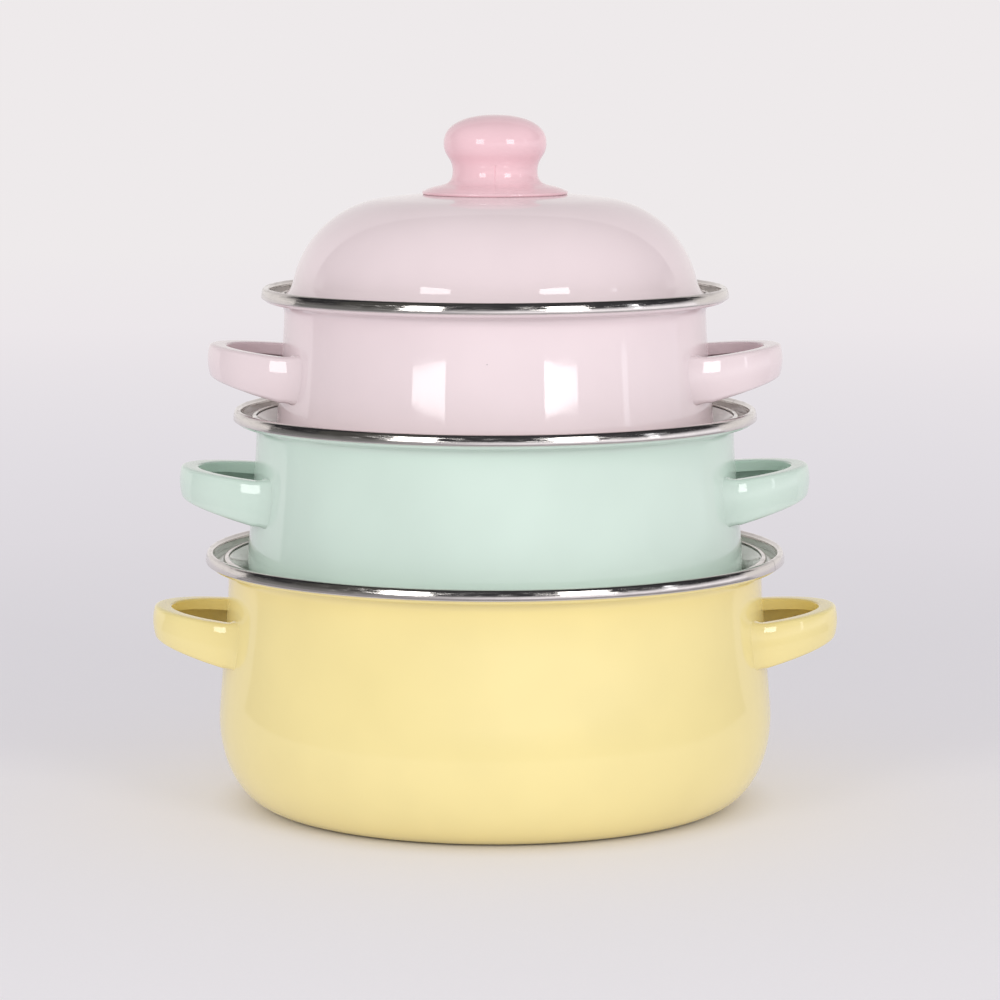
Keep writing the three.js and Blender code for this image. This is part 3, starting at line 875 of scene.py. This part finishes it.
ROOM = [  # clockwise from the camera's side
    (bearing_share(-180), DIM_ROOM),
    (bearing_share(-146), DIM_ROOM), (bearing_share(-140), GREY_SCREEN),
    (bearing_share(-97), GREY_SCREEN), (bearing_share(-95), DARK_ROOM),
    (bearing_share(88), DARK_ROOM), (bearing_share(98), DIM_ROOM),
    (bearing_share(180), DIM_ROOM),
]


def floor_paper():
    """Pale paper that loses its edge in the distance, in a glow with painted shade, darker near the pots and
    pale far off; nearer it has a painted glow that lightens its shadows and painted shade behind the pots,
    and gloss sees it only near the pots.
    """
    finish, tree, shader = new_finish("floor_paper")
    where = place(tree)
    axes = put(tree, "SeparateXYZ", {0: where}).outputs
    distance = put(tree, "VectorMath", {0: where}, operation="LENGTH").outputs["Value"]
    grain = noise(tree, where, scale=900, detail=4.0)
    near, behind = (
        mottled(tree, grain, tone, dark=1 - PAPER_GRAIN, light=1 + PAPER_GRAIN)
        for tone in (PAPER, PAPER_SHADED_BEHIND)
    )
    # Painted shade: the paper is a little darker behind the pots
    paper = blended(tree, rising(tree, axes["Y"], PAPER_SHADE_TURN), near, behind)
    feed(tree, shader.inputs["Base Color"], paper)
    shader.inputs["Roughness"].default_value = 0.75
    shader.inputs["Specular IOR Level"].default_value = 0.2
    # Painted glow: the paper's own colour as emission, lightening the floor and its shadows except right by
    # the pots
    painted_glow = put(tree, "Emission", {"Color": paper, "Strength": 1.3})
    lit = layered(tree, spread(tree, distance, 0, PAINTED_PAPER_GLOW, *PAINTED_GLOW_START), shader, painted_glow)
    # Far off the paper is only glow, in painted shade that is darker near the pots and pale towards the
    # backdrop
    far_painted_shade = ramp_tone(tree, rising(tree, distance, FAR_PAINTED_SHADE_REACH), FAR_PAINTED_SHADE)
    glow = put(tree, "Emission", {"Color": far_painted_shade})
    sheet = layered(tree, rising(tree, distance, FAR_GLOW_FADE), lit, glow)
    # In the gloss the paper ends in front of the pots, where the room is dark
    across, back = (worked(tree, "DIVIDE", axes[axis], distance) for axis in "XY")
    dark = product(
        tree, falling(tree, back, WING_SIDE), rising(tree, distance, GLOSS_PAPER_END),
        put(tree, "LightPath").outputs["Is Glossy Ray"],
    )
    horizon = blended(tree, rising(tree, across, FRONT_TURN), FRONT_LEFT, FRONT_RIGHT)
    ground = blended(tree, rising(tree, distance, FRONT_FLOOR_FADE), FRONT_FLOOR, horizon)
    seen = layered(tree, dark, sheet, put(tree, "Emission", {"Color": ground}))
    feed(tree, tree.nodes["Material Output"].inputs["Surface"], seen.outputs[0])
    return finish


def pale_floor():
    bm = bmesh.new()
    bmesh.ops.create_grid(bm, x_segments=1, y_segments=1, size=FLOOR_REACH)
    bmesh.ops.translate(bm, verts=bm.verts, vec=(0, 0, -FLOOR_DROP))
    floor = new_object(bm, "floor")
    floor.data.materials.append(floor_paper())


def fill_light(tree, axes):
    """Even pale light for the colours, brighter from behind and weaker from above."""
    level = blended(tree, rising(tree, axes["Y"], FILL_TURN), FRONT_FILL, BACK_FILL)
    return blended(tree, rising(tree, axes["Z"], FILL_TOP), level, TOP_FILL)


def gloss_light(tree, axes):
    """What gloss mirrors: a white backdrop behind, and a dark room with a narrow window in front."""
    bearing = worked(tree, "ARCTAN2", axes["X"], axes["Y"])
    room = ramp_tone(tree, rising(tree, bearing, (-math.pi, math.pi)), ROOM)
    front = blended(tree, rising(tree, axes["X"], FRONT_TURN), FRONT_LEFT, FRONT_RIGHT)
    front = blended(tree, rising(tree, axes["Z"], FRONT_TOP), front, room)
    aside = worked(tree, "ABSOLUTE", worked(tree, "SUBTRACT", bearing, WINDOW_BEARING))
    window = product(
        tree, falling(tree, aside, WINDOW_SIDE),
        rising(tree, axes["Z"], WINDOW_FOOT), falling(tree, axes["Z"], WINDOW_TOP),
    )
    front = blended(tree, window, front, WINDOW)
    backdrop = blended(tree, rising(tree, axes["Z"], BACKDROP_FADE), BACKDROP, BACKDROP_TOP)
    wings = product(tree, rising(tree, axes["Y"], WING_SIDE), falling(tree, axes["Z"], WING_TOP))
    behind = worked(tree, "MAXIMUM", rising(tree, axes["Y"], BACKDROP_SIDE), wings)
    return blended(tree, behind, front, backdrop)


def studio_world():
    """Pale to the camera, with one light for the colours and another for the gloss."""
    world = bpy.data.worlds.new("studio")
    bpy.context.scene.world = world
    world.use_nodes = True
    tree = world.node_tree
    axes = put(tree, "SeparateXYZ", {0: put(tree, "TexCoord").outputs["Generated"]}).outputs
    rays = put(tree, "LightPath").outputs
    light = blended(tree, rays["Is Camera Ray"], fill_light(tree, axes), (*PALE, 1))
    light = blended(tree, rays["Is Glossy Ray"], light, gloss_light(tree, axes))
    feed(tree, tree.nodes["Background"].inputs["Color"], light)


def soft_box(name, bearing, power):
    """A tall soft light at a bearing from the camera."""
    lamp = bpy.data.lights.new(name, "AREA")
    lamp.shape = "RECTANGLE"
    lamp.size, lamp.size_y = BOX_SIZE
    lamp.energy = power
    holder = bpy.data.objects.new(name, lamp)
    holder.location = (BOX_DISTANCE * math.sin(bearing), -BOX_DISTANCE * math.cos(bearing), BOX_MIDDLE)
    holder.rotation_euler = (math.pi / 2, 0, bearing)
    holder.visible_camera = False
    bpy.context.scene.collection.objects.link(holder)


def photo_camera():
    """Stands where the rims' ellipses put the camera."""
    lens = bpy.data.cameras.new("camera")
    lens.lens = LENS_LENGTH
    lens.sensor_width = SENSOR_WIDTH
    lens.clip_end = CAMERA_SIGHT
    camera = bpy.data.objects.new("camera", lens)
    camera.location = CAMERA_PLACE
    camera.rotation_euler = (math.pi / 2 - CAMERA_DOWN, 0, 0)
    bpy.context.scene.collection.objects.link(camera)
    bpy.context.scene.camera = camera


pale_floor()
studio_world()
soft_box("soft_box_right", BOX_BEARING, power=6.4)
soft_box("soft_box_left", -BOX_BEARING, power=5.6)
photo_camera()
bpy.context.scene.view_settings.view_transform = "Standard"
